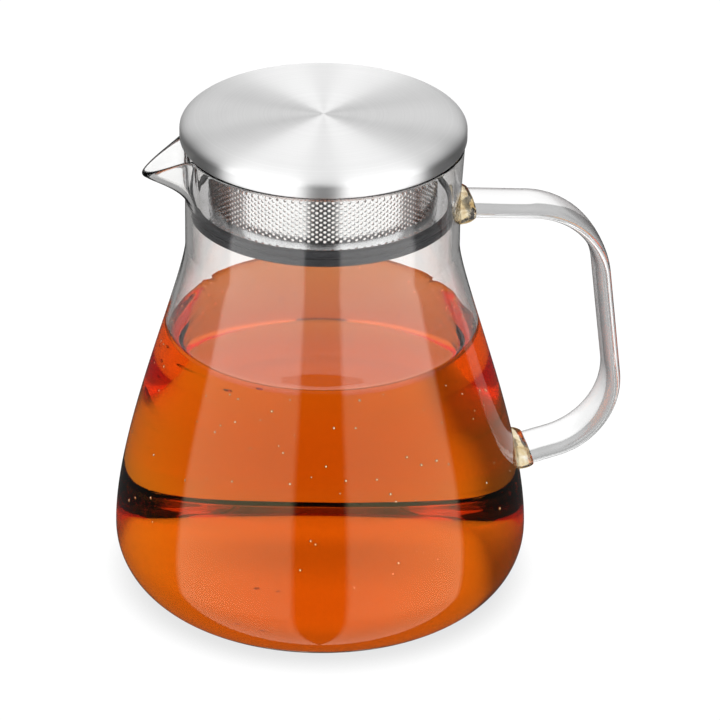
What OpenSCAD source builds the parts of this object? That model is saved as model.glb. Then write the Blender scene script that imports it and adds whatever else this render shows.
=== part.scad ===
// Glass teapot with a steel strainer lid.
// The origin is the centre of the foot, on the surface the pot stands on.
// +Z is up, the handle is on +X and the pouring lip is on -X.

/* [Vessel] */
// Radius of the flat foot
foot_r = 55; // [52:0.5:57]
// Largest outside radius of the belly
belly_r = 64.9; // [60:0.1:68]
// Height of the widest point of the belly
belly_z = 17; // [14:1:22]
// Outside radius of the bottom of the neck
neck_r = 42.4; // [42.2:0.1:43]
// Height of the bottom of the neck
neck_z = 115; // [110:1:120]
// Outside radius of the rim
rim_r = 43.4; // [43:0.1:44]
// Height of the top of the rim
rim_z = 150; // [146:1:154]
// Thickness of the blown wall
wall = 1.8; // [1.5:0.1:2]
// Thickness of the bottom
base_t = 2.6; // [2:0.1:3.5]
// Rise of the middle of the bottom above the foot
base_rise = 1.6; // [1:0.1:2.5]

/* [Pouring lip] */
// Distance from the axis to the tip of the lip
tip_x = 56; // [52:0.5:60]
// Height of the tip of the lip
tip_z = 142; // [139:0.5:146]
// Thickness of the glass at the lip
lip_wall = 1.6; // [1.4:0.1:2]

/* [Handle] */
// Width of the glass strap
strap_w = 18.5; // [14:0.5:22]
// Thickness of the glass strap
strap_t = 4.4; // [3.5:0.1:6]
// Bend radius of the upper corner
upper_bend_r = 26; // [20:1:30]
// Bend radius of the lower corner
lower_bend_r = 24; // [18:1:28]
// Thickness of the fused bead at each end of the strap
bead_t = 4; // [3:0.5:5]
// How far a bead stands proud of the strap all round
bead_proud = 1.2; // [0.6:0.1:1.6]

/* [Lid] */
// Radius of the lid
lid_r = 44; // [43.8:0.1:46]
// Height of the lid from its underside to its top
lid_h = 8; // [6:0.5:9]
// Width of the rounded shoulder of the lid
shoulder_w = 8.5; // [6:0.5:10]
// Drop of the rounded shoulder of the lid
shoulder_h = 4; // [3:0.5:4.5]
// Thickness of the sheet steel
sheet_t = 0.7; // [0.5:0.1:1]
// Gap between the lid and the rim of the vessel
lid_gap = 0.2; // [0.1:0.05:0.3]

/* [Strainer and seal] */
// Outside radius of the strainer band
strainer_r = 35.2; // [33:0.1:36]
// Thickness of the strainer sheet
strainer_t = 0.5; // [0.4:0.1:0.7]
// Height of the bottom of the seal above the table
seal_z = 126.2; // [124:0.2:128]
// Height of the silicone seal
seal_h = 5; // [4:0.5:6]
// Outside radius of the silicone seal
seal_r = 40.4; // [40:0.1:40.5]
// Running clearance between the seal and its steel channel
seal_gap = 0.1; // [0.05:0.05:0.2]

/* [Hidden] */
$fn = 96;

curve_steps = 14;       // steps along each curved stretch of an outline
hull_fn = 32;           // smoothness of the shapes inside a hull
reach = 40;             // more than the distance any cutter has to pass through

// Points and curves in the plane of an outline

function bezier(a, b, c, d, t) =
    a * pow(1 - t, 3) + 3 * b * t * pow(1 - t, 2) + 3 * c * t * t * (1 - t) + d * pow(t, 3);

function bezier_points(a, b, c, d, steps) =
    [for (i = [0 : steps]) bezier(a, b, c, d, i / steps)];

function arc_points(centre, radii, from, to, steps) =
    [for (i = [0 : steps]) let (angle = from + (to - from) * i / steps)
        centre + [radii[0] * cos(angle), radii[1] * sin(angle)]];

function reversed(points) = [for (i = [len(points) - 1 : -1 : 0]) points[i]];

// The vessel is one outline turned about Z. An inset of 0 gives the outside of the glass.

rim_bead_r = wall / 2;
side_pull_low = 30;     // how far the belly stays full above its widest point
side_pull_high = 13;    // how far the neck stays straight below its bottom
foot_inner_r = 46;      // inner edge of the flat foot
foot_pull_out = 1.5;    // how sharply the flat foot turns up into the belly
foot_pull_up = 11;      // how far the belly stays full below its widest point

function rim_centre() = [rim_r - rim_bead_r, rim_z - rim_bead_r];

// Side of the vessel from the foot to the rim, set in by the given wall
function side_points(inset, floor_t) = concat(
    bezier_points([foot_r, floor_t], [foot_r + foot_pull_out, floor_t],
        [belly_r - inset, belly_z - foot_pull_up], [belly_r - inset, belly_z], curve_steps),
    bezier_points([belly_r - inset, belly_z], [belly_r - inset, belly_z + side_pull_low],
        [neck_r - inset, neck_z - side_pull_high], [neck_r - inset, neck_z], 2 * curve_steps),
    [[rim_r - inset, rim_z - rim_bead_r]]);

// Bottom of the vessel from the middle to the foot, raised in the middle
function bottom_points(lift) =
    [for (i = [0 : curve_steps]) let (r = foot_inner_r * i / curve_steps)
        [r, lift + base_rise * (1 + cos(180 * r / foot_inner_r)) / 2]];

module vessel_outside() {
    rotate_extrude()
        polygon(concat(bottom_points(0), side_points(0, 0), [[0, rim_z - rim_bead_r]]));
}

module vessel_wall() {
    rotate_extrude()
        polygon(concat(
            bottom_points(0),
            side_points(0, 0),
            arc_points(rim_centre(), [rim_bead_r, rim_bead_r], 10, 170, curve_steps),
            reversed(side_points(wall, base_t)),
            reversed(bottom_points(base_t))));
}

module vessel_inside() {
    rotate_extrude()
        polygon(concat(
            bottom_points(base_t),
            side_points(wall, base_t),
            [[rim_r - wall, rim_z + 1], [0, rim_z + 1]]));
}

// The pouring lip is pulled out of the rim to a low tip

lip_root_half_w = 13;   // half the width of the lip where it leaves the rim
lip_throat_half_w = 7;  // half the width of the lip at the bottom of its throat
lip_throat_z = 132;     // height where the lip starts to leave the neck
tip_ball_r = 2.2;       // roundness of the tip

// A thin slice of a disc of radius r, kept where it is within half_w of the lip's plane
module lip_slice(r, half_w, z, thickness) {
    intersection() {
        translate([0, 0, z]) cylinder(r = r, h = thickness, $fn = 4 * hull_fn);
        translate([-reach - sqrt(r * r - half_w * half_w), -half_w, z - 1])
            cube([reach, 2 * half_w, thickness + 2]);
    }
}

module lip_outside() {
    hull() {
        lip_slice(rim_r, lip_root_half_w, rim_z - 3, 2.4);
        lip_slice(neck_r, lip_throat_half_w, lip_throat_z, 0.5);
        translate([-tip_x + tip_ball_r, 0, tip_z - tip_ball_r]) sphere(tip_ball_r, $fn = hull_fn);
    }
}

// The channel is the space inside the lip, open upward
module lip_channel() {
    hull() {
        lip_slice(rim_r - wall, lip_root_half_w - lip_wall, rim_z - 3, reach);
        lip_slice(neck_r - wall, lip_throat_half_w - lip_wall, lip_throat_z + lip_wall, 0.5);
        translate([-tip_x + tip_ball_r + lip_wall, 0, tip_z - 0.6])
            cylinder(r = tip_ball_r - 1, h = reach, $fn = hull_fn);
    }
}

module glass_body() {
    color([0.86, 0.89, 0.9, 0.35])
    difference() {
        union() {
            vessel_wall();
            difference() {
                lip_outside();
                vessel_inside();
            }
        }
        lip_channel();
    }
}

// The handle is a flat glass strap along a path of straight runs and two round corners.
// A path point is [distance from the axis, height].

strap_start = [neck_r + bead_t, 124.8];
upper_corner = [86, 121.2];
lower_corner = [95.4, 43.7];
strap_end = [66.8, 36.9];
corner_steps = 14;
ring_sides = 24;

function unit(v) = v / norm(v);
function angle_of(v) = atan2(v[1], v[0]);

// Arc that rounds the corner between the runs from a and to b, turning clockwise
function corner_arc(a, corner, b, r) =
    let (u = unit(corner - a), v = unit(b - corner),
         turn = acos(u * v), back = r * tan(turn / 2),
         from = angle_of(u) + 90, centre = corner - u * back + r * [u[1], -u[0]])
    arc_points(centre, [r, r], from, from - turn, corner_steps);

function strap_path() = concat(
    [strap_start],
    corner_arc(strap_start, upper_corner, lower_corner, upper_bend_r),
    corner_arc(upper_corner, lower_corner, strap_end, lower_bend_r),
    [strap_end]);

// Direction of the path at point i
function path_direction(path, i) =
    let (last = len(path) - 1)
    unit(unit(path[min(i + 1, last)] - path[min(i, last - 1)])
        + unit(path[max(i, 1)] - path[max(i - 1, 0)]));

// One ring of the strap: a flattened round of the given width and thickness
function strap_ring(point, direction, width, thickness) =
    let (across = [-direction[1], direction[0]], squareness = 0.8)
    [for (k = [0 : ring_sides - 1]) let (
        angle = 360 * k / ring_sides,
        side = sign(cos(angle)) * pow(abs(cos(angle)), squareness) * width / 2,
        rise = sign(sin(angle)) * pow(abs(sin(angle)), squareness) * thickness / 2)
        [point[0] + across[0] * rise, side, point[1] + across[1] * rise]];

// Solid skinned over a list of rings
module skin(rings) {
    n = len(rings[0]);
    last = len(rings) - 1;
    polyhedron(
        points = [for (ring = rings) each ring],
        faces = concat(
            [[for (k = [n - 1 : -1 : 0]) k]],
            [for (i = [0 : last - 1], k = [0 : n - 1])
                [i * n + k, i * n + (k + 1) % n, (i + 1) * n + (k + 1) % n, (i + 1) * n + k]],
            [[for (k = [0 : n - 1]) last * n + k]]),
        convexity = 6);
}

module handle() {
    path = strap_path();
    color([0.88, 0.91, 0.92, 0.45])
    skin([for (i = [0 : len(path) - 1])
        strap_ring(path[i], path_direction(path, i), strap_w, strap_t)]);
}

// A bead of melted glass, round-edged, from inside the vessel's wall to the end of the strap
module fused_bead(end, direction) {
    bead_rings = 8;
    depth = 3 * bead_t;
    difference() {
        skin([for (i = [0 : bead_rings]) let (
            angle = 90 * i / bead_rings,
            swell = 2 * bead_proud * cos(angle),
            back = i == 0 ? depth : bead_t * (1 - sin(angle)))
            strap_ring(end - direction * back, direction, strap_w + swell, strap_t + 2 * swell)]);
        vessel_outside();
    }
}

module upper_handle_weld() {
    color([0.8, 0.8, 0.72, 0.5])
    fused_bead(strap_start, unit(upper_corner - strap_start));
}

module lower_handle_weld() {
    color([0.8, 0.8, 0.72, 0.5])
    fused_bead(strap_end, unit(lower_corner - strap_end));
}

// The lid: a drawn cap closed below by a plate, with the strainer hanging from the plate

lid_z = rim_z + lid_gap;
lid_top_z = lid_z + lid_h;
lid_edge_r = 1;         // roundness of the bottom edge of the lid
crown = 0.4;            // how much the middle of the lid stands above its shoulder

// Outline of the cap, set in by the given thickness
function cap_points(inset) = concat(
    bezier_points([0, lid_top_z - inset], [lid_r / 3, lid_top_z - inset],
        [lid_r / 2, lid_top_z - crown / 2 - inset],
        [lid_r - shoulder_w, lid_top_z - crown - inset], curve_steps),
    arc_points([lid_r - shoulder_w, lid_top_z - crown - shoulder_h],
        [shoulder_w - inset, shoulder_h - inset], 90, 0, curve_steps));

module lid_cap() {
    hem_r = lid_r - lid_edge_r;
    color([0.82, 0.82, 0.83])
    rotate_extrude()
        polygon(concat(
            cap_points(0),
            arc_points([hem_r, lid_z + lid_edge_r], [lid_edge_r, lid_edge_r], 0, -90, 6),
            [[hem_r, lid_z + sheet_t], [lid_r - sheet_t, lid_z + lid_edge_r]],
            reversed(cap_points(sheet_t))));
}

module lid_underplate() {
    color([0.7, 0.7, 0.72])
    translate([0, 0, lid_z]) cylinder(r = lid_r - lid_edge_r, h = sheet_t);
}

channel_lip_r = 38.6;   // outside radius of the two lips that hold the seal
channel_z = seal_z + 0.6;
channel_top_z = seal_z + seal_h - 0.6;
channel_web_r = strainer_r + 1.6;

module strainer_band() {
    color([0.75, 0.75, 0.77])
    translate([0, 0, channel_top_z])
    difference() {
        cylinder(r = strainer_r, h = lid_z - channel_top_z);
        translate([0, 0, -1])
            cylinder(r = strainer_r - strainer_t, h = lid_z - channel_top_z + 2);
    }
}

module seal_channel() {
    inner_r = strainer_r - strainer_t;
    color([0.78, 0.78, 0.8])
    rotate_extrude()
        polygon([
            [inner_r, channel_top_z],
            [channel_lip_r, channel_top_z],
            [channel_lip_r, channel_top_z - sheet_t],
            [channel_web_r, channel_top_z - sheet_t],
            [channel_web_r, channel_z + sheet_t],
            [channel_lip_r, channel_z + sheet_t],
            [channel_lip_r, channel_z],
            [channel_web_r - sheet_t, channel_z],
            [channel_web_r - sheet_t, channel_top_z - sheet_t],
            [inner_r, channel_top_z - sheet_t]]);
}

module silicone_seal() {
    head_r = channel_lip_r + seal_gap;
    root_r = channel_web_r + seal_gap;
    root_low = channel_z + sheet_t + seal_gap;
    root_high = channel_top_z - sheet_t - seal_gap;
    edge_r = 0.6;
    color([0.25, 0.25, 0.27])
    rotate_extrude()
        polygon(concat(
            [[root_r, root_low], [head_r, root_low], [head_r, seal_z]],
            arc_points([seal_r - edge_r, seal_z + edge_r], [edge_r, edge_r], -90, 0, 6),
            arc_points([seal_r - edge_r, seal_z + seal_h - edge_r], [edge_r, edge_r], 0, 90, 6),
            [[head_r, seal_z + seal_h], [head_r, root_high], [root_r, root_high]]));
}

glass_body();
handle();
upper_handle_weld();
lower_handle_weld();
lid_cap();
lid_underplate();
strainer_band();
seal_channel();
silicone_seal();
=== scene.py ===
"""A glass teapot with a brushed steel lid, a perforated strainer and amber tea inside it."""
import math

import bmesh
import bpy
import numpy as np
from mathutils import Matrix, Vector, noise


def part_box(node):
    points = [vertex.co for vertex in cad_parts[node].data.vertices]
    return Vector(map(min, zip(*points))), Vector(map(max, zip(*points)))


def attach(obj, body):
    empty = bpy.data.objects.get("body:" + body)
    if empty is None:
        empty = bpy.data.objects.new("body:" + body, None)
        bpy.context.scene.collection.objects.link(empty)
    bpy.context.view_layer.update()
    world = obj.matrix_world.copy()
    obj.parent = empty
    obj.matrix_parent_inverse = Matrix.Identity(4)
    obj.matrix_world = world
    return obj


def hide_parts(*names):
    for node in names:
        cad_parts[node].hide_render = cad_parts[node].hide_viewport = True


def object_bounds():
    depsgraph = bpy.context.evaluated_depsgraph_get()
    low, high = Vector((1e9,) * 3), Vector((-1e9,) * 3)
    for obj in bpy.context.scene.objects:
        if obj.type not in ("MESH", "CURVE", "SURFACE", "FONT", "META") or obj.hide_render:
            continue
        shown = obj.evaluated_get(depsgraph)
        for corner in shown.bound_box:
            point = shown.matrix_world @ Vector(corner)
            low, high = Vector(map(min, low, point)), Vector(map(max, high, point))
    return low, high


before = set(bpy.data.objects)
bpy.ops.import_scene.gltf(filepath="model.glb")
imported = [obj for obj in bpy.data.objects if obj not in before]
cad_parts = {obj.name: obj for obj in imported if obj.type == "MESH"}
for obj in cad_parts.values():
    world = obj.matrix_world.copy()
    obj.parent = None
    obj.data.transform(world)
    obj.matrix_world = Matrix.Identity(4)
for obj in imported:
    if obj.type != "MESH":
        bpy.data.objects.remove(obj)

CAD_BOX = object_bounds()
MM = 0.001
_, GLASS_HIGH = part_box("glass_body")

# ---------------------------------------------------------------- driving sizes, in metres

BELLY_R = GLASS_HIGH.y
RIM_Z = GLASS_HIGH.z
BELLY_Z = 17 * MM
FOOT_R = 55 * MM
FOOT_INNER_R = 46 * MM
FOOT_OUT = 1.5 * MM
FOOT_UP = 11 * MM
NECK_R = 42.4 * MM
NECK_Z = 115 * MM
RIM_R = 43.4 * MM
WALL = 1.8 * MM
BASE_T = 2.6 * MM
BASE_RISE = 1.6 * MM
PULL_LOW = 30 * MM
PULL_HIGH = 13 * MM

LIP_FOOT_Z = 131 * MM
LIP_HALF_ANGLE = math.radians(17)
LIP_REACH = 12.6 * MM
LIP_DROP = 8.2 * MM

TEA_Z = 86.9 * MM
MENISCUS = 1.1 * MM
OVERLAP = 0.08 * MM
GLASS_IOR = 1.47
WATER_IOR = 1.333
TEA_COLOUR = (0.94, 0.685, 0.03, 1)
TEA_DENSITY = 65.0
BUBBLES = 150
BUBBLE_R = (0.28 * MM, 0.55 * MM)
BUBBLE_TOP = 2 * MM
BUBBLE_DEPTH = 62 * MM
BUBBLE_CLEAR = 0.35 * MM

STRAP_START_Z = 124.8 * MM
STRAP_UPPER = (86 * MM, 121.2 * MM)
STRAP_LOWER = (95.4 * MM, 43.7 * MM)
STRAP_END = (66.8 * MM, 36.9 * MM)
STRAP_UPPER_R = 26 * MM
STRAP_LOWER_R = 24 * MM
STRAP_W = 18.5 * MM
STRAP_T = 4.4 * MM
STRAP_SQUARENESS = 0.8
BEAD_T = 4 * MM
BEAD_PROUD = 1.2 * MM

SHEET_T = 0.7 * MM
BAND_T = 0.5 * MM
CHANNEL_WEB = 1.6 * MM
SEAL_GAP = 0.1 * MM
HOLES_ROUND = 91
HOLE_R = 0.56 * MM
HOLE_ROW = 0.8 * MM
HOLE_ROWS = 22


# ---------------------------------------------------------------- outlines

def arc(centre, radii, start, stop, steps):
    """Points [r, z] along part of an ellipse, with angles in degrees."""
    t = np.radians(np.linspace(start, stop, steps + 1))
    return np.column_stack([centre[0] + radii[0] * np.cos(t), centre[1] + radii[1] * np.sin(t)])


def bezier(a, b, c, d, steps):
    a, b, c, d = (np.array(p, float) for p in (a, b, c, d))
    t = np.linspace(0, 1, steps + 1)[:, None]
    return a * (1 - t) ** 3 + 3 * b * t * (1 - t) ** 2 + 3 * c * t * t * (1 - t) + d * t ** 3


def straight(a, b, steps):
    return np.linspace(np.array(a, float), np.array(b, float), steps + 1)


def joined(*runs):
    """One outline from several runs, without the doubled points where they meet."""
    points = np.concatenate(runs)
    apart = np.linalg.norm(np.diff(points, axis=0), axis=1) > 1e-7
    return points[np.concatenate([[True], apart])]


def normals_of(outline):
    """Outward normal [r, z] at each point of an outline that runs up the outside."""
    tangent = np.gradient(outline, axis=0)
    normal = np.column_stack([tangent[:, 1], -tangent[:, 0]])
    return normal / np.linalg.norm(normal, axis=1)[:, None]


def vessel_outline(inset=0.0, floor_t=0.0):
    """Outside of the glass from the middle of the bottom to the start of the rim's bead, or
    the same line set in by a thickness of the side and of the floor."""
    r = np.linspace(0.4 * MM, FOOT_INNER_R, 26)
    rise = BASE_RISE * (1 + np.cos(np.pi * r / FOOT_INNER_R)) / 2
    belly, neck = BELLY_R - inset, NECK_R - inset
    return joined(
        np.column_stack([r, floor_t + rise]),
        straight((FOOT_INNER_R, floor_t), (FOOT_R, floor_t), 4),
        bezier((FOOT_R, floor_t), (FOOT_R + FOOT_OUT, floor_t), (belly, BELLY_Z - FOOT_UP),
               (belly, BELLY_Z), 40),
        bezier((belly, BELLY_Z), (belly, BELLY_Z + PULL_LOW), (neck, NECK_Z - PULL_HIGH),
               (neck, NECK_Z), 76),
        straight((neck, NECK_Z), (neck, LIP_FOOT_Z), 8),
        straight((neck, LIP_FOOT_Z), (RIM_R - inset, RIM_Z - WALL / 2), 22))


OUTLINE = vessel_outline()
FOOT_POINTS = np.count_nonzero(OUTLINE[:, 1] < BELLY_Z - 0.01 * MM)
INSIDE = OUTLINE - WALL * normals_of(OUTLINE)
INSIDE[:FOOT_POINTS] = vessel_outline(WALL, BASE_T)[:FOOT_POINTS]
OUTWARD = (OUTLINE - INSIDE) / np.linalg.norm(OUTLINE - INSIDE, axis=1)[:, None]


# ---------------------------------------------------------------- meshes

def finish_mesh(name, points, faces, sharp=40, merge=0.0):
    mesh = bpy.data.meshes.new(name)
    mesh.from_pydata([tuple(p) for p in points], [], faces)
    bm = bmesh.new()
    bm.from_mesh(mesh)
    if merge:
        bmesh.ops.remove_doubles(bm, verts=bm.verts, dist=merge)
    bmesh.ops.recalc_face_normals(bm, faces=bm.faces)
    bm.to_mesh(mesh)
    bm.free()
    mesh.shade_smooth()
    mesh.set_sharp_from_angle(angle=math.radians(sharp))
    piece = bpy.data.objects.new(name, mesh)
    bpy.context.scene.collection.objects.link(piece)
    return piece


def skin(name, rings, loop=False, start=None, end=None, sharp=40):
    """A surface over rings of points. A loop joins its last ring to the first; otherwise
    start and end are the points that close its two ends."""
    rings = np.asarray(rings, float)
    count, sides = rings.shape[:2]
    points = list(rings.reshape(-1, 3))
    around = [(k, (k + 1) % sides) for k in range(sides)]
    faces = []
    for i in range(count if loop else count - 1):
        a, b = i * sides, (i + 1) % count * sides
        faces += [(a + k, a + m, b + m, b + k) for k, m in around]
    if start is not None:
        points.append(start)
        faces += [(len(points) - 1, m, k) for k, m in around]
    if end is not None:
        points.append(end)
        last = (count - 1) * sides
        faces += [(len(points) - 1, last + k, last + m) for k, m in around]
    return finish_mesh(name, points, faces, sharp)


def turned(outline, angles):
    """Rings of points for an outline turned about Z."""
    r, z = outline[:, 0][:, None], outline[:, 1][:, None]
    return np.stack([r * np.cos(angles), r * np.sin(angles), z + 0 * angles], axis=-1)


def lathe(name, outline, sides=192, loop=True, sharp=40):
    """A solid of revolution. A loop is a ring-shaped solid; otherwise the outline starts and
    ends near the axis and is closed there."""
    rings = turned(np.asarray(outline, float), np.linspace(0, 2 * np.pi, sides, endpoint=False))
    if loop:
        return skin(name, rings, loop=True, sharp=sharp)
    first, last = rings[0].mean(axis=0), rings[-1].mean(axis=0)
    return skin(name, rings, start=first, end=last, sharp=sharp)


# ---------------------------------------------------------------- the glass

def vessel_angles():
    """Angles round the vessel, twice as close over the pouring lip."""
    near = np.radians(20)
    lip = np.linspace(np.pi - near, np.pi + near, 44, endpoint=False)
    rest = np.linspace(np.pi + near, 3 * np.pi - near, 156, endpoint=False)
    return np.concatenate([lip, rest])


def waves(angle, z):
    """Small unevenness of the inside of blown glass."""
    place = Vector((math.cos(angle) * 2.2, math.sin(angle) * 2.2, z / (45 * MM)))
    fine = Vector((math.cos(angle) * 7, math.sin(angle) * 7, z / (60 * MM)))
    return 0.10 * MM * noise.noise(place) + 0.025 * MM * noise.noise(fine)


def wave_field(outline, angles):
    fade = np.clip(outline[:, 0] / (30 * MM), 0, 1) ** 2
    field = np.array([[waves(a, z) for a in angles] for z in outline[:, 1]])
    return field * fade[:, None]


def pull_lip(points, angles):
    """Draws the rim out and down into the pouring lip."""
    off = np.abs(np.mod(angles, 2 * np.pi) - np.pi)
    share = np.where(off < LIP_HALF_ANGLE,
                     np.cos(np.minimum(off / LIP_HALF_ANGLE, 1) * np.pi / 2) ** 2.2, 0)
    rise = np.clip((points[..., 2] - LIP_FOOT_Z) / (RIM_Z - LIP_FOOT_Z), 0, 1)
    out = LIP_REACH * share * rise ** 2 * (2.4 - 1.4 * rise)
    radius = np.linalg.norm(points[..., :2], axis=-1)
    grow = (radius + out) / radius
    moved = points.copy()
    moved[..., 0] *= grow
    moved[..., 1] *= grow
    moved[..., 2] -= LIP_DROP * share * rise ** 1.45
    return moved


def unit(v):
    return v / np.linalg.norm(v, axis=-1, keepdims=True)


def make_vessel():
    angles = vessel_angles()
    outside = pull_lip(turned(OUTLINE, angles), angles)
    along = np.gradient(outside, axis=0)
    around = np.roll(outside, -1, axis=1) - np.roll(outside, 1, axis=1)
    normal = unit(np.cross(around, along))
    field = wave_field(OUTLINE, angles)
    end = len(OUTLINE) - 1
    field[end - 6:] = 0
    inside = outside - (WALL + field[..., None]) * normal
    foot = slice(0, FOOT_POINTS)
    dents = field[foot, :, None] * turned(OUTWARD[foot], angles)
    inside[foot] = turned(INSIDE[foot], angles) - dents
    tangent = unit(along[end] - (along[end] * normal[end]).sum(-1, keepdims=True) * normal[end])
    middle = (outside[end] + inside[end]) / 2
    bead = [middle + WALL / 2 * (math.cos(t) * normal[end] + math.sin(t) * tangent)
            for t in np.linspace(0, np.pi, 12)[1:-1]]
    rings = np.concatenate([outside, np.array(bead), inside[::-1]])
    vessel = skin("vessel_glass", rings, start=(0, 0, BASE_RISE),
                  end=(0, 0, BASE_RISE + BASE_T), sharp=60)
    first_wet = len(rings) - np.count_nonzero(inside[:, 0, 2] < TEA_Z + MENISCUS)
    start_fan = len(rings) - 1
    for i, face in enumerate(vessel.data.polygons):
        ring = i // len(angles)
        face.material_index = int(ring >= first_wet and ring != start_fan)
    return vessel


def strap_path():
    """Middle of the handle as [distance from the axis, height], through its two round corners."""
    start = np.array([NECK_R + BEAD_T, STRAP_START_Z])
    upper, lower, end = (np.array(p) for p in (STRAP_UPPER, STRAP_LOWER, STRAP_END))

    def corner(a, b, c, radius):
        u, v = unit(b - a), unit(c - b)
        turn = math.degrees(math.acos(np.dot(u, v)))
        back = radius * math.tan(math.radians(turn) / 2)
        centre = b - u * back + radius * np.array([u[1], -u[0]])
        first = math.degrees(math.atan2(u[1], u[0])) + 90
        return arc(centre, (radius, radius), first, first - turn, 40)

    top = corner(start, upper, lower, STRAP_UPPER_R)
    bottom = corner(upper, lower, end, STRAP_LOWER_R)
    return joined(straight(start, top[0], 14), top, straight(top[-1], bottom[0], 18),
                  bottom, straight(bottom[-1], end, 12))


def strap_ring(centre, direction, width, depth, sides=48):
    """One flattened round across the path."""
    t = np.linspace(0, 2 * np.pi, sides, endpoint=False)
    side = np.sign(np.cos(t)) * np.abs(np.cos(t)) ** STRAP_SQUARENESS * width / 2
    rise = np.sign(np.sin(t)) * np.abs(np.sin(t)) ** STRAP_SQUARENESS * depth / 2
    return np.column_stack([centre[0] - direction[1] * rise, side, centre[1] + direction[0] * rise])


def make_handle():
    path = strap_path()
    directions = unit(np.gradient(path, axis=0))
    into_bead = 0.8 * MM
    path[0] -= directions[0] * into_bead
    path[-1] += directions[-1] * into_bead
    rings = []
    for i, (point, direction) in enumerate(zip(path, directions)):
        wobble = 1 + 0.03 * noise.noise(Vector((i * 0.11, 0.5, 0)))
        rings.append(strap_ring(point, direction, STRAP_W, STRAP_T * wobble))
    ends = [np.array([p[0], 0, p[1]]) for p in (path[0], path[-1])]
    return skin("handle_glass", rings, start=ends[0], end=ends[1], sharp=50)


def vessel_radius(z):
    """Outside radius of the vessel above its widest point."""
    side = OUTLINE[OUTLINE[:, 1] >= BELLY_Z]
    return np.interp(z, side[:, 1], side[:, 0])


def make_weld(name, end, direction, seed):
    """The melted bead between the wall and the end of the strap."""
    rings = []
    for t in np.radians(np.linspace(0, 90, 15)):
        swell = 2 * BEAD_PROUD * math.cos(t)
        ring = strap_ring(end, direction, STRAP_W + swell, STRAP_T + 2 * swell)
        for k, p in enumerate(ring):
            wall = math.sqrt(max(vessel_radius(p[2]) ** 2 - p[1] ** 2, 0)) - 2 * OVERLAP
            lump = noise.noise(Vector((p[1] / (3 * MM), p[2] / (2 * MM), seed + 2 * t)))
            ring[k][0] = wall + (p[0] - wall) * math.sin(t) + 0.25 * MM * lump * math.cos(t)
        rings.append(ring)
    middle = [np.mean(ring, axis=0) for ring in (rings[0], rings[-1])]
    return skin(name, rings, start=middle[0], end=middle[1], sharp=50)


def make_tea():
    """Tea that fills the vessel to its surface and wets the glass in a small meniscus."""
    angles = vessel_angles()
    wet = INSIDE + OVERLAP * OUTWARD
    keep = (OUTLINE[:, 1] < BELLY_Z) | (wet[:, 1] < TEA_Z - 1 * MM)
    below = wet[keep]
    field = wave_field(OUTLINE[keep], angles)
    top_r = np.interp(TEA_Z + MENISCUS, OUTLINE[FOOT_POINTS:, 1], wet[FOOT_POINTS:, 0])
    rings = turned(below, angles)
    rings = rings - field[..., None] * turned(OUTWARD[keep], angles)
    inward = np.array([0, 0.15, 0.4, 0.8, 1.4, 2.2, 3.4, 5, 8, 14, 24, 36, 43]) * MM
    surface = np.column_stack([top_r - inward, TEA_Z + MENISCUS * np.exp(-inward / (1.0 * MM))])
    top = turned(surface, angles)
    return skin("tea", np.concatenate([rings, top]), start=rings[0].mean(axis=0),
                end=(0, 0, TEA_Z), sharp=50)


def make_bubbles():
    """Small air bubbles close to the wall, most of them near the surface of the tea."""
    rng = np.random.default_rng(11)
    rings_up, sides = 5, 10
    tilts = np.pi * np.arange(1, rings_up + 1) / (rings_up + 1)
    turns = 2 * np.pi * np.arange(sides) / sides
    points, faces = [], []
    for _ in range(BUBBLES):
        angle = rng.uniform(0, 2 * np.pi)
        z = TEA_Z - BUBBLE_TOP - rng.uniform(0, 1) ** 1.6 * BUBBLE_DEPTH
        size = rng.uniform(*BUBBLE_R)
        side = OUTLINE[FOOT_POINTS:]
        r = np.interp(z, side[:, 1], side[:, 0]) - WALL - BUBBLE_CLEAR - size * 1.1
        centre = np.array([r * math.cos(angle), r * math.sin(angle), z])
        start = len(points)
        points += [tuple(centre + (0, 0, -size)), tuple(centre + (0, 0, size))]
        for tilt in tilts:
            for turn in turns:
                points.append(tuple(centre + size * np.array([
                    math.sin(tilt) * math.cos(turn), math.sin(tilt) * math.sin(turn),
                    -math.cos(tilt)])))
        first, last = start + 2, start + 2 + (rings_up - 1) * sides
        for m in range(sides):
            n = (m + 1) % sides
            faces += [(start, first + n, first + m), (start + 1, last + m, last + n)]
            faces += [(first + k * sides + m, first + k * sides + n,
                       first + (k + 1) * sides + n, first + (k + 1) * sides + m)
                      for k in range(rings_up - 1)]
    return finish_mesh("tea_bubbles", points, faces, sharp=180)


# ---------------------------------------------------------------- the lid

LID_LOW, LID_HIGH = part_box("lid_cap")
LID_R = LID_HIGH.y
LID_Z = LID_LOW.z
LID_TOP = LID_HIGH.z
SHOULDER_W = 8.5 * MM
SHOULDER_H = 4 * MM
LID_EDGE_R = 1 * MM
CROWN = 0.4 * MM


def cap_outline(inset):
    """Top of the lid from the middle to its widest edge, set in by the given thickness."""
    top, shoulder = LID_TOP - inset, LID_R - SHOULDER_W
    return joined(
        bezier((0.3 * MM, top), (LID_R / 3, top), (LID_R / 2, top - CROWN / 2),
               (shoulder, top - CROWN), 24),
        arc((shoulder, LID_TOP - CROWN - SHOULDER_H), (SHOULDER_W - inset, SHOULDER_H - inset),
            90, 0, 26))


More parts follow.
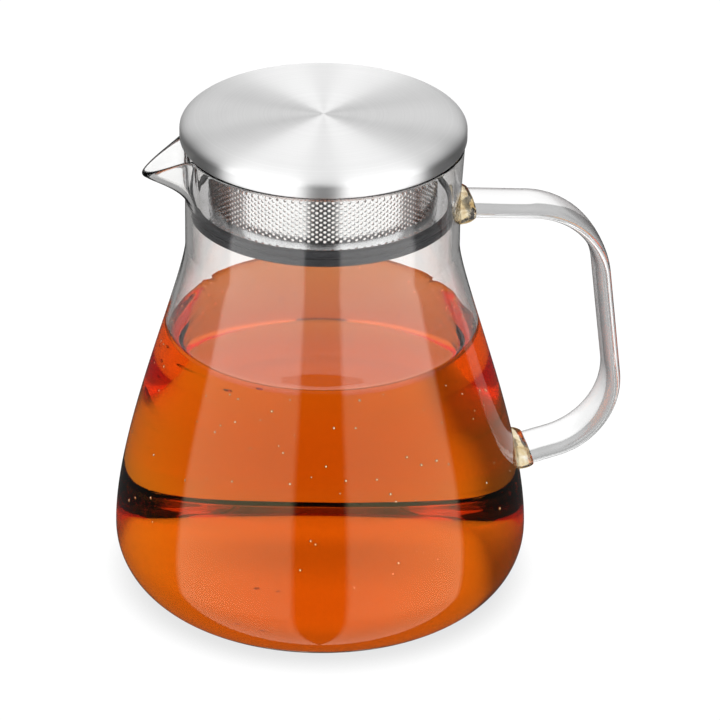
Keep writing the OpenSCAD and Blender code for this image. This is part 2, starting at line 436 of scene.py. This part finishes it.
def make_cap():
    hem_r = LID_R - LID_EDGE_R
    outline = joined(
        cap_outline(0),
        straight((LID_R, LID_TOP - CROWN - SHOULDER_H), (LID_R, LID_Z + LID_EDGE_R), 4),
        arc((hem_r, LID_Z + LID_EDGE_R), (LID_EDGE_R, LID_EDGE_R), 0, -90, 8),
        np.array([(hem_r, LID_Z + SHEET_T), (LID_R - SHEET_T, LID_Z + LID_EDGE_R)]),
        cap_outline(SHEET_T)[::-1])
    return lathe("lid_cap_brushed", outline, sides=256, loop=False, sharp=50)


def make_underplate():
    """Closing plate with a pressed step inside the strainer."""
    edge, step_r, step = LID_R - LID_EDGE_R - 0.05 * MM, 24 * MM, 0.9 * MM
    low = joined(
        straight((0.3 * MM, LID_Z + step), (step_r - 1.5 * MM, LID_Z + step), 3),
        bezier((step_r - 1.5 * MM, LID_Z + step), (step_r, LID_Z + step), (step_r, LID_Z),
               (step_r + 1.5 * MM, LID_Z), 8),
        straight((step_r + 1.5 * MM, LID_Z), (edge, LID_Z), 4))
    high = low[::-1] + np.array([0, SHEET_T])
    return lathe("lid_plate_pressed", np.concatenate([low, high]), loop=False)


def make_strainer():
    """The perforated band: staggered rows of real holes through the sheet."""
    low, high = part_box("strainer_band")
    radius = high.y
    columns = 2 * HOLES_ROUND
    half_w, half_h = np.pi / columns, HOLE_ROW
    first = high.z - 0.4 * MM - half_h - (HOLE_ROWS - 1) * HOLE_ROW
    border = [(1, 0), (1, 1), (0, 1), (-1, 1), (-1, 0), (-1, -1), (0, -1), (1, -1)]
    points, faces = [], []

    def at(angle, z, r):
        points.append((r * math.cos(angle), r * math.sin(angle), z))
        return len(points) - 1

    def patch(a0, a1, z0, z1):
        """A plain piece of the sheet, both faces."""
        for r in (radius, radius - BAND_T):
            faces.append((at(a0, z0, r), at(a1, z0, r), at(a1, z1, r), at(a0, z1, r)))

    def rim(a0, a1, z):
        faces.append((at(a0, z, radius), at(a1, z, radius),
                      at(a1, z, radius - BAND_T), at(a0, z, radius - BAND_T)))

    for c in range(columns):
        centre = 2 * c * half_w
        odd = c % 2
        for k in range(HOLE_ROWS // 2):
            z = first + (2 * k + odd) * HOLE_ROW
            edge = [[at(centre + x * half_w, z + y * half_h, r) for x, y in border]
                    for r in (radius, radius - BAND_T)]
            hole = [[at(centre + HOLE_R * math.cos(t) / radius, z + HOLE_R * math.sin(t), r)
                     for t in np.arange(8) * np.pi / 4] for r in (radius, radius - BAND_T)]
            for i in range(8):
                j = (i + 1) % 8
                faces.append((edge[0][i], edge[0][j], hole[0][j], hole[0][i]))
                faces.append((edge[1][i], edge[1][j], hole[1][j], hole[1][i]))
                faces.append((hole[0][i], hole[0][j], hole[1][j], hole[1][i]))
        bottom = first + odd * HOLE_ROW - half_h
        top = bottom + HOLE_ROWS * HOLE_ROW
        for a0, a1 in ((centre - half_w, centre), (centre, centre + half_w)):
            if odd:
                patch(a0, a1, first - half_h, bottom)
                patch(a0, a1, top, high.z)
            else:
                patch(a0, a1, top, top + HOLE_ROW)
                patch(a0, a1, top + HOLE_ROW, high.z)
            patch(a0, a1, low.z, first - half_h)
            rim(a0, a1, low.z)
            rim(a0, a1, high.z)
    return finish_mesh("strainer_perforated", points, faces, sharp=35, merge=0.004 * MM)


def make_channel():
    """The pressed steel channel that carries the seal, with slightly rolled edges."""
    low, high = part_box("seal_channel")
    band_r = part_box("strainer_band")[1].y
    lip_r, web_r, inner_r = high.y, band_r + CHANNEL_WEB, band_r - BAND_T
    roll = 0.2 * MM
    outline = joined(
        np.array([(inner_r, high.z)]),
        arc((lip_r - roll, high.z - roll), (roll, roll), 90, 0, 4),
        arc((lip_r - roll, high.z - SHEET_T + roll), (roll, roll), 0, -90, 4),
        np.array([(web_r, high.z - SHEET_T), (web_r, low.z + SHEET_T)]),
        arc((lip_r - roll, low.z + SHEET_T - roll), (roll, roll), 90, 0, 4),
        arc((lip_r - roll, low.z + roll), (roll, roll), 0, -90, 4),
        np.array([(web_r - SHEET_T, low.z), (web_r - SHEET_T, high.z - SHEET_T),
                  (inner_r, high.z - SHEET_T)]))
    return lathe("seal_channel_polished", outline, sides=224)


def make_seal():
    """Silicone ring with a shallow groove round the middle of its face."""
    low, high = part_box("silicone_seal")
    channel_low, channel_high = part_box("seal_channel")
    lip_r = channel_high.y + SEAL_GAP
    root_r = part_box("strainer_band")[1].y + CHANNEL_WEB + SEAL_GAP
    web_low = channel_low.z + SHEET_T + SEAL_GAP
    web_high = channel_high.z - SHEET_T - SEAL_GAP
    edge, face, middle = 0.6 * MM, high.y, (low.z + high.z) / 2
    groove, groove_h = 0.5 * MM, 0.9 * MM
    outline = joined(
        np.array([(root_r, web_low), (lip_r, web_low), (lip_r, low.z)]),
        arc((face - edge, low.z + edge), (edge, edge), -90, 0, 6),
        bezier((face, middle - groove_h), (face, middle - groove_h / 3),
               (face - groove, middle - groove), (face - groove, middle), 6),
        bezier((face - groove, middle), (face - groove, middle + groove),
               (face, middle + groove_h / 3), (face, middle + groove_h), 6),
        arc((face - edge, high.z - edge), (edge, edge), 0, 90, 6),
        np.array([(lip_r, high.z), (lip_r, web_high), (root_r, web_high)]))
    return lathe("seal_silicone", outline, sides=224)


# ---------------------------------------------------------------- materials

class Nodes:
    """Short way to make a material's nodes."""

    def __init__(self, name):
        self.material = bpy.data.materials.new(name)
        self.material.use_nodes = True
        self.tree = self.material.node_tree
        self.shader = self.tree.nodes["Principled BSDF"]
        self.out = self.tree.nodes["Material Output"]

    def add(self, kind, **values):
        """A node with some of its inputs and settings set by name, or linked to a socket."""
        node = self.tree.nodes.new(kind)
        for key, value in values.items():
            label = key.replace("_", " ")
            if label in node.inputs:
                self.set(node.inputs[label], value)
            else:
                setattr(node, key, value)
        return node

    def set(self, socket, value):
        if isinstance(value, bpy.types.NodeSocket):
            self.tree.links.new(value, socket)
        else:
            socket.default_value = value

    def principled(self, **values):
        for key, value in values.items():
            self.set(self.shader.inputs[key.replace("_", " ")], value)

    def place(self):
        return self.add("ShaderNodeTexCoord").outputs["Object"]

    def stretched(self, scale):
        node = self.add("ShaderNodeMapping", Scale=scale)
        self.set(node.inputs["Vector"], self.place())
        return node.outputs["Vector"]

    def noise(self, scale, vector=None, detail=3.0, roughness=0.5):
        node = self.add("ShaderNodeTexNoise", Scale=scale, Detail=detail, Roughness=roughness)
        self.set(node.inputs["Vector"], vector or self.place())
        return node.outputs["Fac"]

    def ramp(self, factor, *stops):
        node = self.add("ShaderNodeValToRGB")
        self.set(node.inputs["Fac"], factor)
        ends = node.color_ramp.elements
        while len(ends) < len(stops):
            ends.new(0.5)
        for element, (position, colour) in zip(ends, stops):
            element.position = position
            element.color = (*colour, 1)
        return node.outputs["Color"]

    def span(self, factor, low, high):
        node = self.add("ShaderNodeMapRange")
        self.set(node.inputs["Value"], factor)
        node.inputs["From Min"].default_value = 0.3
        node.inputs["From Max"].default_value = 0.7
        node.inputs["To Min"].default_value = low
        node.inputs["To Max"].default_value = high
        return node.outputs["Result"]

    def bump(self, height, strength, distance):
        node = self.add("ShaderNodeBump", Strength=strength, Distance=distance)
        self.set(node.inputs["Height"], height)
        return node.outputs["Normal"]

    def fade(self, value, place, levels):
        """One level before a stretch of values, another after it, smooth between."""
        node = self.add("ShaderNodeMapRange", interpolation_type="SMOOTHSTEP")
        self.set(node.inputs["Value"], value)
        for label, number in zip(("From Min", "From Max", "To Min", "To Max"), place + levels):
            node.inputs[label].default_value = number
        return node.outputs["Result"]

    def above(self, z, low=0.0, high=1.0):
        """low under the height z, high over it."""
        parts = self.add("ShaderNodeSeparateXYZ")
        self.set(parts.inputs[0], self.place())
        node = self.add("ShaderNodeMapRange")
        self.set(node.inputs["Value"], parts.outputs["Z"])
        for label, value in (("From Min", z - 0.1 * MM), ("From Max", z),
                             ("To Min", low), ("To Max", high)):
            node.inputs[label].default_value = value
        return node.outputs["Result"]

    def from_axis(self):
        """Distance from the lid's axis, as a vector that noise can read."""
        parts = self.add("ShaderNodeSeparateXYZ")
        self.set(parts.inputs[0], self.place())
        flat = self.add("ShaderNodeCombineXYZ")
        self.set(flat.inputs["X"], parts.outputs["X"])
        self.set(flat.inputs["Y"], parts.outputs["Y"])
        length = self.add("ShaderNodeVectorMath", operation="LENGTH")
        self.set(length.inputs[0], flat.outputs[0])
        out = self.add("ShaderNodeCombineXYZ")
        self.set(out.inputs["X"], length.outputs["Value"])
        self.set(out.inputs["Z"], parts.outputs["Z"])
        return out.outputs[0]

    def let_light_through(self, colour):
        """Shadow rays pass, so that light reaches what is behind the glass."""
        rays = self.add("ShaderNodeLightPath")
        clear = self.add("ShaderNodeBsdfTransparent", Color=(*colour, 1))
        mix = self.add("ShaderNodeMixShader")
        self.set(mix.inputs[0], rays.outputs["Is Shadow Ray"])
        self.set(mix.inputs[1], self.shader.outputs[0])
        self.set(mix.inputs[2], clear.outputs[0])
        self.set(self.out.inputs["Surface"], mix.outputs[0])


def clear_glass(name, edge_shades, wave_scale, wave_mm, ior, warm_reflection_below=None):
    """Blown borosilicate glass with soft waves and the lightest smears. Its colour has painted
    shade: it is darker where it is seen edge on, in place of the dark surroundings that glass
    shows at its edges. Below the height it is given, where tea backs it, its reflections have
    a painted warm tint, in place of light that comes back to them through the tea."""
    n = Nodes(name)
    cloud = n.noise(22.0, detail=2.0)
    smear = n.noise(60.0, vector=n.stretched((1, 1, 0.3)), detail=4.0)
    facing = n.add("ShaderNodeLayerWeight", Blend=0.5).outputs["Facing"]
    body = n.ramp(cloud, (0.3, (0.985, 0.988, 0.985)), (0.7, (1, 1, 1)))
    # Painted shade: the colour darkens where the glass is seen edge on, in place of the dark
    # surroundings that glass shows at its edges.
    rim = n.ramp(facing, *edge_shades)
    # The glass's random tone times its painted edge shade.
    tone_and_edge_shade = n.add("ShaderNodeMix", data_type="RGBA", blend_type="MULTIPLY")
    n.set(tone_and_edge_shade.inputs[0], 1.0)
    n.set(tone_and_edge_shade.inputs[6], body)
    n.set(tone_and_edge_shade.inputs[7], rim)
    n.principled(Base_Color=tone_and_edge_shade.outputs[2], Roughness=n.span(smear, 0.0, 0.012), IOR=ior,
                 Transmission_Weight=1.0,
                 Normal=n.bump(n.noise(wave_scale, detail=1.0), 0.25, wave_mm * MM))
    if warm_reflection_below:
        # Painted reflection: reflections below the given height are tinted warm, in place of light
        # that comes back to them through the tea.
        painted_warm_reflection = n.ramp(n.above(warm_reflection_below), (0, (1, 0.92, 0.5)), (1, (1, 1, 1)))
        n.principled(Specular_Tint=painted_warm_reflection)
    n.let_light_through((0.97, 0.98, 0.98))
    return n.material


def weld_glass():
    """Melted joint with an amber burn inside it."""
    n = Nodes("welded glass")
    burn = n.noise(240.0, detail=3.0, roughness=0.6)
    n.principled(Base_Color=n.ramp(burn, (0.36, (0.36, 0.20, 0.06)), (0.50, (0.78, 0.62, 0.34)),
                                   (0.66, (0.96, 0.92, 0.80))),
                 Roughness=n.span(burn, 0.0, 0.05), IOR=GLASS_IOR, Transmission_Weight=1.0,
                 Normal=n.bump(n.noise(300.0, detail=1.0), 0.35, 0.4 * MM))
    n.let_light_through((0.9, 0.85, 0.72))
    return n.material


def tea_liquid():
    """Amber tea. The glass round it already bends the light on its sides, so only its open
    surface has the refraction of water."""
    n = Nodes("tea")
    drift = n.noise(30.0, detail=1.0)
    n.principled(Base_Color=n.ramp(drift, (0.3, (0.99, 0.985, 0.97)), (0.7, (1, 1, 1))),
                 Roughness=0.0, IOR=n.above(TEA_Z - 0.02 * MM, 1.002, WATER_IOR),
                 Transmission_Weight=1.0,
                 Normal=n.bump(n.noise(35.0, detail=1.0), 0.1, 0.5 * MM))
    volume = n.add("ShaderNodeVolumeAbsorption", Color=TEA_COLOUR, Density=TEA_DENSITY)
    n.set(n.out.inputs["Volume"], volume.outputs[0])
    n.let_light_through((1, 0.9, 0.75))
    return n.material


def bubble_skin():
    """The bright face of an air bubble in tea."""
    n = Nodes("bubble")
    tone = n.noise(500.0, detail=1.0)
    n.principled(Base_Color=n.ramp(tone, (0.3, (1, 0.74, 0.45)), (0.7, (1, 0.88, 0.7))),
                 Metallic=1.0, Roughness=n.span(tone, 0.05, 0.25))
    return n.material


def brushed_steel(name, base, rough, grain_mm, anisotropy, depth):
    """Steel turned on a lathe: fine rings round the axis and a radial spread of highlights."""
    n = Nodes(name)
    rings = n.noise(1.0 / (grain_mm * MM), vector=n.from_axis(), detail=4.0, roughness=0.7)
    patches = n.noise(60.0, detail=2.0)
    tangent = n.add("ShaderNodeTangent", direction_type="RADIAL", axis="Z")
    low = tuple(c * 0.93 for c in base)
    n.principled(Base_Color=n.ramp(rings, (0.3, low), (0.7, base)), Metallic=1.0,
                 Roughness=n.span(patches, rough - 0.02, rough + 0.02),
                 Anisotropic=anisotropy, Anisotropic_Rotation=0.25, Tangent=tangent.outputs[0],
                 Normal=n.bump(rings, 0.35, depth * MM))
    return n.material


def sheet_steel(name, base, low_rough, high_rough):
    """Rolled sheet with a fine grain and faint handling marks."""
    n = Nodes(name)
    grain = n.noise(900.0, vector=n.stretched((1, 1, 6)), detail=4.0, roughness=0.7)
    marks = n.noise(140.0, detail=3.0)
    low = tuple(c * 0.9 for c in base)
    n.principled(Base_Color=n.ramp(marks, (0.3, low), (0.7, base)), Metallic=1.0,
                 Roughness=n.span(grain, low_rough, high_rough),
                 Normal=n.bump(grain, 0.15, 0.02 * MM))
    return n.material


def silicone():
    n = Nodes("silicone")
    speckle = n.noise(1600.0, detail=2.0)
    cloud = n.noise(70.0, detail=3.0)
    n.principled(Base_Color=n.ramp(cloud, (0.3, (0.014, 0.014, 0.016)),
                                   (0.7, (0.022, 0.022, 0.025))),
                 Roughness=n.span(speckle, 0.38, 0.5), Specular_IOR_Level=0.35,
                 Normal=n.bump(speckle, 0.2, 0.03 * MM))
    return n.material


# ---------------------------------------------------------------- put the pieces together

def put(piece, body, node, material):
    piece.data.materials.append(material)
    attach(piece, body)
    if node:
        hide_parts(node)
    return piece


def make_pot():
    # Stops of each glass's painted edge shade: how dark its colour is painted where it is seen edge
    # on, for the thin wall, the wet wall and the solid handle.
    thin_edge_shade = ((0.42, (0.96, 0.96, 0.955)), (0.74, (0.84, 0.81, 0.79)), (0.97, (0.95, 0.93, 0.92)))
    wet = ((0.42, (0.97, 0.97, 0.97)), (0.97, (0.93, 0.93, 0.93)))
    solid = ((0.56, (1, 1, 1)), (0.76, (0.50, 0.47, 0.47)), (0.88, (0.26, 0.24, 0.24)))
    vessel = put(make_vessel(), "pot", "glass_body",
                 clear_glass("vessel glass", thin_edge_shade, 40.0, 0.3, GLASS_IOR, warm_reflection_below=TEA_Z))
    vessel.data.materials.append(clear_glass("wet glass", wet, 40.0, 0.3,
                                             GLASS_IOR / WATER_IOR))
    put(make_handle(), "pot", "handle",
        clear_glass("handle glass", solid, 55.0, 0.5, GLASS_IOR))
    weld = weld_glass()
    path = strap_path()
    put(make_weld("upper_weld_bead", path[0], unit(path[1] - path[0]), 3.0), "pot",
        "upper_handle_weld", weld)
    put(make_weld("lower_weld_bead", path[-1], unit(path[-2] - path[-1]), 8.0), "pot",
        "lower_handle_weld", weld)
    put(make_tea(), "pot", None, tea_liquid())
    put(make_bubbles(), "pot", None, bubble_skin())


def make_lid():
    put(make_cap(), "lid", "lid_cap",
        brushed_steel("brushed steel", (0.84, 0.84, 0.84), 0.44, 0.5, 0.94, 0.006))
    put(make_underplate(), "lid", "lid_underplate",
        brushed_steel("satin steel", (0.62, 0.62, 0.64), 0.4, 0.8, 0.4, 0.02))
    put(make_strainer(), "lid", "strainer_band",
        sheet_steel("strainer steel", (0.64, 0.64, 0.64), 0.14, 0.24))
    put(make_channel(), "lid", "seal_channel",
        sheet_steel("channel steel", (0.72, 0.72, 0.73), 0.06, 0.12))
    put(make_seal(), "seal", "silicone_seal", silicone())


# ---------------------------------------------------------------- studio and camera

CAMERA_AZIMUTH = -10.0
CAMERA_ELEVATION = 27.6
CAMERA_DISTANCE = 1.5
CAMERA_YAW = 0.46
CAMERA_ROLL = 0.5
CAMERA_LENS = 239.65
AIM_HEIGHT = 0.4653      # as a share of the height of the pot
FLOOR_R = 6.0

# The studio by direction. Azimuths run from 0 at the front to 180 behind, elevations from
# -90 to 90, both in degrees. A pair is where a change starts and ends.
# SPOUT_SIDE is how far a direction leans to the right of the front, from -1 to 1.
BOX_SIDES = (15, 84)
BOX_HEIGHTS = (-32, 50)
TABLE_EDGE = (-36, -28)
GAP_EDGE = (13, 17)
GAP_TOP = (20, 27)
BEHIND_SIDES = (135, 152)
BEHIND_LOW = (6, 15)
CEILING_LOW = (22, 40)
CEILING_TOP = (33, 42)
ZENITH_EDGE = (62, 75)
WALL_EDGE = (112, 126)
WALL_TOP = (24, 34)
SPOUT_SIDE = (0.1, -0.2)
SPOUT_SIDE_TURN = 32
TABLE_FRONT = (110, 90)
TABLE_FRONT_LOW = (-30, -38)
TABLE_BELOW = (-46, -54)

DARK_LEVEL = 0.05
CEILING_LEVEL = 0.92
TOP_LEVEL = 0.08
ZENITH_LEVEL = 0.35
BOX_LEVEL = 1.7
TABLE_LEVEL = 1.3
SIDE_LEVEL = 0.32
WALL_LEVEL = 1.05
WALL_TOP_LEVEL = 1.4
TABLE_SEEN_LEVEL = 0.95
EMPTY_GLASS_LEVELS = (0.85, 1.05)

# How many glass surfaces a ray has crossed, as a middle and a reach on either side.
BEHIND_NECK = (4.0, 1.4)
INSIDE_GLASS = (2.0, 0.5)
INSIDE_SHARE = 0.6
EMPTY_CROSSINGS = 5.5
LIGHT_BOUNCES = 24


def turned_pair(a, b, degrees):
    """Two axes turned in their own plane."""
    c, s = math.cos(math.radians(degrees)), math.sin(math.radians(degrees))
    return a * c + b * s, b * c - a * s


def camera_axes():
    a, e = math.radians(CAMERA_AZIMUTH), math.radians(CAMERA_ELEVATION)
    back = Vector((math.sin(a) * math.cos(e), -math.cos(a) * math.cos(e), math.sin(e)))
    right = (-back).cross(Vector((0, 0, 1))).normalized()
    return back, right, right.cross(-back)


def make_camera():
    back, right, up = camera_axes()
    aim = Vector((0, 0, AIM_HEIGHT * (CAD_BOX[1].z - CAD_BOX[0].z)))
    place = aim + back * CAMERA_DISTANCE
    forward, right = turned_pair(-back, right, CAMERA_YAW)
    right, up = turned_pair(right, up, CAMERA_ROLL)
    data = bpy.data.cameras.new("camera")
    data.lens = CAMERA_LENS
    data.clip_start, data.clip_end = 0.05, 50
    camera = bpy.data.objects.new("camera", data)
    axes = Matrix((right, up, -forward)).transposed()
    camera.matrix_world = Matrix.Translation(place) @ axes.to_4x4()
    bpy.context.scene.collection.objects.link(camera)
    bpy.context.scene.camera = camera


def make_floor():
    """A wide plain white table, with a soft contact shadow made by ambient occlusion. Only
    camera rays see it: what the glass and the steel show of it is in the studio's light."""
    t = np.linspace(0, 2 * np.pi, 96, endpoint=False)
    points = [(FLOOR_R * math.cos(a), FLOOR_R * math.sin(a), 0) for a in t]
    floor = finish_mesh("floor", points, [tuple(range(len(points)))])
    n = Nodes("white table")
    contact = n.add("ShaderNodeAmbientOcclusion", Distance=0.016, samples=8)
    seen = n.fade(contact.outputs["AO"], (0.2, 0.85), (0.78, 1.05))
    white = n.ramp(n.noise(4.0, detail=2.0), (0.3, (0.99, 0.99, 0.99)), (0.7, (1, 1, 1)))
    table = n.add("ShaderNodeEmission", Strength=seen, Color=white)
    unseen = n.add("ShaderNodeBsdfTransparent")
    mix = n.add("ShaderNodeMixShader")
    n.set(mix.inputs[0], n.add("ShaderNodeLightPath").outputs["Is Camera Ray"])
    n.set(mix.inputs[1], unseen.outputs[0])
    n.set(mix.inputs[2], table.outputs[0])
    n.set(n.out.inputs["Surface"], mix.outputs[0])
    floor.data.materials.append(n.material)
    floor.location.z = CAD_BOX[0].z - 0.05 * MM


class Sky:
    """The nodes of the studio around the table, as brightness by direction and kind of ray."""

    def __init__(self):
        world = bpy.data.worlds.new("studio")
        world.use_nodes = True
        bpy.context.scene.world = world
        self.tree = world.node_tree
        self.background = self.tree.nodes["Background"]
        self.direction = self.tree.nodes.new("ShaderNodeTexCoord").outputs["Generated"]

    def math(self, operation, *values):
        node = self.tree.nodes.new("ShaderNodeMath")
        node.operation = operation
        for socket, value in zip(node.inputs, values):
            if isinstance(value, bpy.types.NodeSocket):
                self.tree.links.new(value, socket)
            else:
                socket.default_value = value
        return node.outputs[0]

    def along(self, axis):
        node = self.tree.nodes.new("ShaderNodeVectorMath")
        node.operation = "DOT_PRODUCT"
        self.tree.links.new(self.direction, node.inputs[0])
        node.inputs[1].default_value = axis
        return node.outputs["Value"]

    def step(self, value, start, stop):
        """0 before start, 1 after stop, smooth between them."""
        node = self.tree.nodes.new("ShaderNodeMapRange")
        node.interpolation_type = "SMOOTHSTEP"
        self.tree.links.new(value, node.inputs["Value"])
        node.inputs["From Min"].default_value = start
        node.inputs["From Max"].default_value = stop
        return node.outputs["Result"]

    def product(self, a, b):
        return self.math("MULTIPLY", a, b)

    def larger(self, a, b):
        return self.math("MAXIMUM", a, b)

    def inverse(self, value):
        return self.math("SUBTRACT", 1.0, value)

    def mix(self, factor, a, b):
        """a where the factor is 0, b where it is 1."""
        rest = self.product(self.inverse(factor), a)
        return self.math("ADD", rest, self.product(factor, b))

    def window(self, value, low, high, soft):
        """1 between low and high, 0 outside them, smooth over soft on either side."""
        rise = self.step(value, low - soft, low + soft)
        fall = self.step(value, high - soft, high + soft)
        return self.math("SUBTRACT", rise, fall)


def reflected_room(sky, azimuth, elevation):
    """What surfaces mirror: two wide softboxes at the front with a gap between them, a light
    ceiling that comes lower behind, and dark walls at the sides and low down behind."""
    beside = sky.window(azimuth, *BOX_SIDES, 2.5)
    boxes = sky.product(beside, sky.window(elevation, *BOX_HEIGHTS, 4.0))
    under = sky.product(beside, sky.inverse(sky.step(elevation, *TABLE_EDGE)))
    open_up = sky.larger(sky.step(azimuth, *GAP_EDGE), sky.step(elevation, *GAP_TOP))
    behind = sky.product(sky.step(azimuth, *BEHIND_SIDES), sky.step(elevation, *BEHIND_LOW))
    ceiling = sky.larger(behind, sky.product(sky.step(elevation, *CEILING_LOW), open_up))
    top = sky.product(sky.step(elevation, *CEILING_TOP), ceiling)
    zenith = sky.step(elevation, *ZENITH_EDGE)
    level = DARK_LEVEL
    for part, strength in ((ceiling, CEILING_LEVEL), (top, TOP_LEVEL), (zenith, ZENITH_LEVEL),
                           (boxes, BOX_LEVEL), (under, TABLE_LEVEL)):
        level = sky.math("ADD", level, sky.product(part, strength))
    return level


def refracted_room(sky, azimuth, elevation, side, mirror):
    """What is seen through glass and tea: as mirrored in front but never as dark, a bright
    wall behind that reaches less far round on the spout's side, and a bright table low in
    front and straight below."""
    turn = sky.math("SUBTRACT", azimuth,
                    sky.product(sky.step(side, *SPOUT_SIDE), SPOUT_SIDE_TURN))
    wall = sky.mix(sky.step(elevation, *WALL_TOP), WALL_LEVEL, WALL_TOP_LEVEL)
    around = sky.mix(sky.step(turn, *WALL_EDGE), sky.larger(mirror, SIDE_LEVEL), wall)
    front_low = sky.product(sky.step(elevation, *TABLE_FRONT_LOW),
                            sky.step(azimuth, *TABLE_FRONT))
    below = sky.larger(sky.step(elevation, *TABLE_BELOW), front_low)
    return sky.mix(below, around, TABLE_SEEN_LEVEL)


def make_sky():
    """The studio's light. It isn't one physical room: camera rays see white, mirrored rays
    the reflected room, and rays through glass the refracted room. Of those, rays mirrored
    behind the neck or inside solid glass see the reflected room too, and rays that crossed
    empty glass only see close to white. It stays where it is when the camera moves."""
    sky = Sky()
    back, right, _ = camera_axes()
    front_axis = Vector((back.x, back.y, 0)).normalized()
    front, side, height = sky.along(front_axis), sky.along(right), sky.along((0, 0, 1))
    azimuth = sky.math("DEGREES", sky.math("ARCTAN2", sky.math("ABSOLUTE", side), front))
    elevation = sky.math("DEGREES", sky.math("ARCSINE", height))
    mirror = reflected_room(sky, azimuth, elevation)
    through = refracted_room(sky, azimuth, elevation, side, mirror)
    rays = sky.tree.nodes.new("ShaderNodeLightPath").outputs
    crossings = rays["Transmission Depth"]
    mirrored = sky.math("GREATER_THAN", rays["Glossy Depth"], 0.5)
    off_steel = sky.math("COMPARE", crossings, *BEHIND_NECK)
    in_glass = sky.product(sky.math("COMPARE", crossings, *INSIDE_GLASS), INSIDE_SHARE)
    back_to_mirror = sky.product(mirrored, sky.larger(off_steel, in_glass))
    seen_through = sky.product(rays["Is Transmission Ray"], sky.inverse(back_to_mirror))
    least, most = EMPTY_GLASS_LEVELS
    plain = sky.math("MINIMUM", sky.larger(through, least), most)
    through = sky.mix(sky.math("LESS_THAN", crossings, EMPTY_CROSSINGS), through, plain)
    level = sky.mix(seen_through, mirror, through)
    level = sky.mix(rays["Is Camera Ray"], level, 1.0)
    sky.tree.links.new(level, sky.background.inputs["Strength"])
    sky.background.inputs["Color"].default_value = (1, 1, 1, 1)


def set_film():
    scene = bpy.context.scene
    scene.view_settings.view_transform = "Standard"
    scene.view_settings.look = "None"
    scene.cycles.max_bounces = LIGHT_BOUNCES
    scene.cycles.transmission_bounces = LIGHT_BOUNCES
    scene.cycles.glossy_bounces = 10
    scene.cycles.transparent_max_bounces = LIGHT_BOUNCES
    scene.cycles.sample_clamp_indirect = 6
    scene.cycles.blur_glossy = 0.2


make_pot()
make_lid()
make_floor()
make_sky()
make_camera()
set_film()
